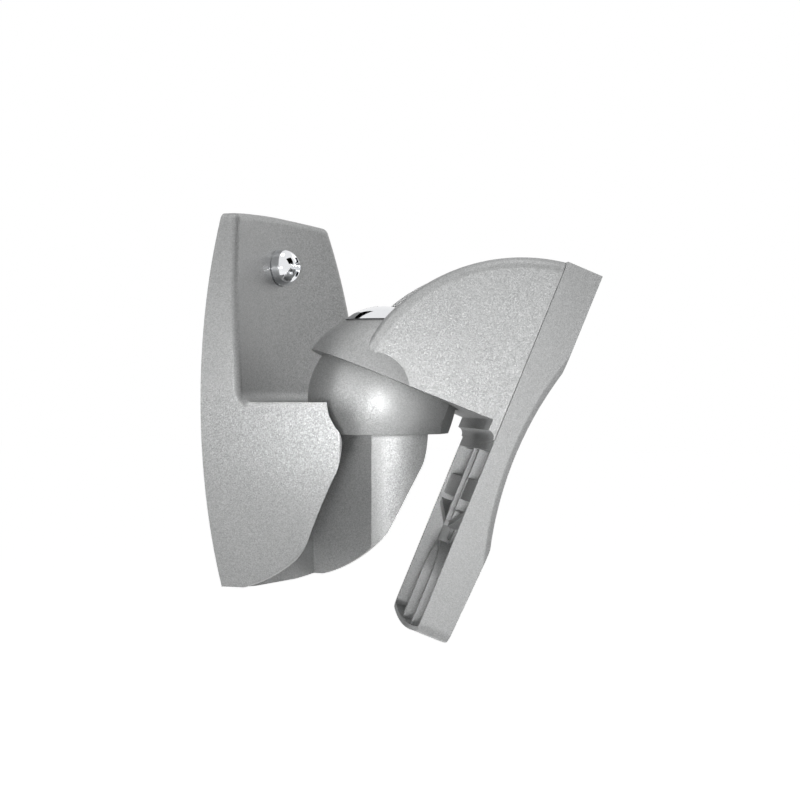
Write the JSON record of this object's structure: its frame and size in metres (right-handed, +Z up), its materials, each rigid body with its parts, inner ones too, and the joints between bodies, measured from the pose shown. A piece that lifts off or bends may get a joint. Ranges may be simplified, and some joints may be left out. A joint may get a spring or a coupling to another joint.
{
  "type": "speaker wall bracket",
  "caption": "Silver cast wall bracket for a small speaker: barrel-sided wall plate with a half ball, and a clamped hood with a ribbed speaker plate that swivels and tilts on the ball.",
  "frame": {"origin": "on the wall plane, on the bracket's centre line, at the height of the ball's centre", "axes": "+Y into the wall, so the bracket stands out along -Y; +Z up; +X to the right as seen from the wall"},
  "size_m": [0.0764, 0.0966, 0.0961],
  "materials": {
    "silver_paint": "fine metallic silver paint, satin",
    "chrome_screws": "polished chrome plating",
    "plated_steel": "zinc plating",
    "guide_plastic": "moulded, matte"
  },
  "bodies": {
    "wall": {"wall_bracket": "silver_paint", "wall_screw_upper": "chrome_screws", "wall_screw_lower": "chrome_screws", "clamp_nut": "plated_steel"},
    "swivel": {"slot_guide": "guide_plastic"},
    "head": {"arm_hood": "silver_paint", "speaker_plate": "silver_paint", "arm_screw_lower": "plated_steel", "arm_screw_upper": "plated_steel"},
    "clamp": {"clamp_screw": "chrome_screws"}
  },
  "joints": [
    {"name": "swivel", "type": "hinge", "parent": "wall", "child": "swivel", "pos_m": [0, -0.0289, 0], "axis": [0, 0, 1], "range_deg": [-65.6, 2.4]},
    {"name": "tilt", "type": "hinge", "parent": "swivel", "child": "head", "pos_m": [0, -0.0289, 0], "axis": [0.8517, 0.524, 0], "range_deg": [-32.5, 1.5]},
    {"name": "clamp_turn", "type": "hinge", "parent": "wall", "child": "clamp", "pos_m": [0, -0.0289, 0], "axis": [0, 0, 1], "range_deg": [0, 360]}
  ]
}
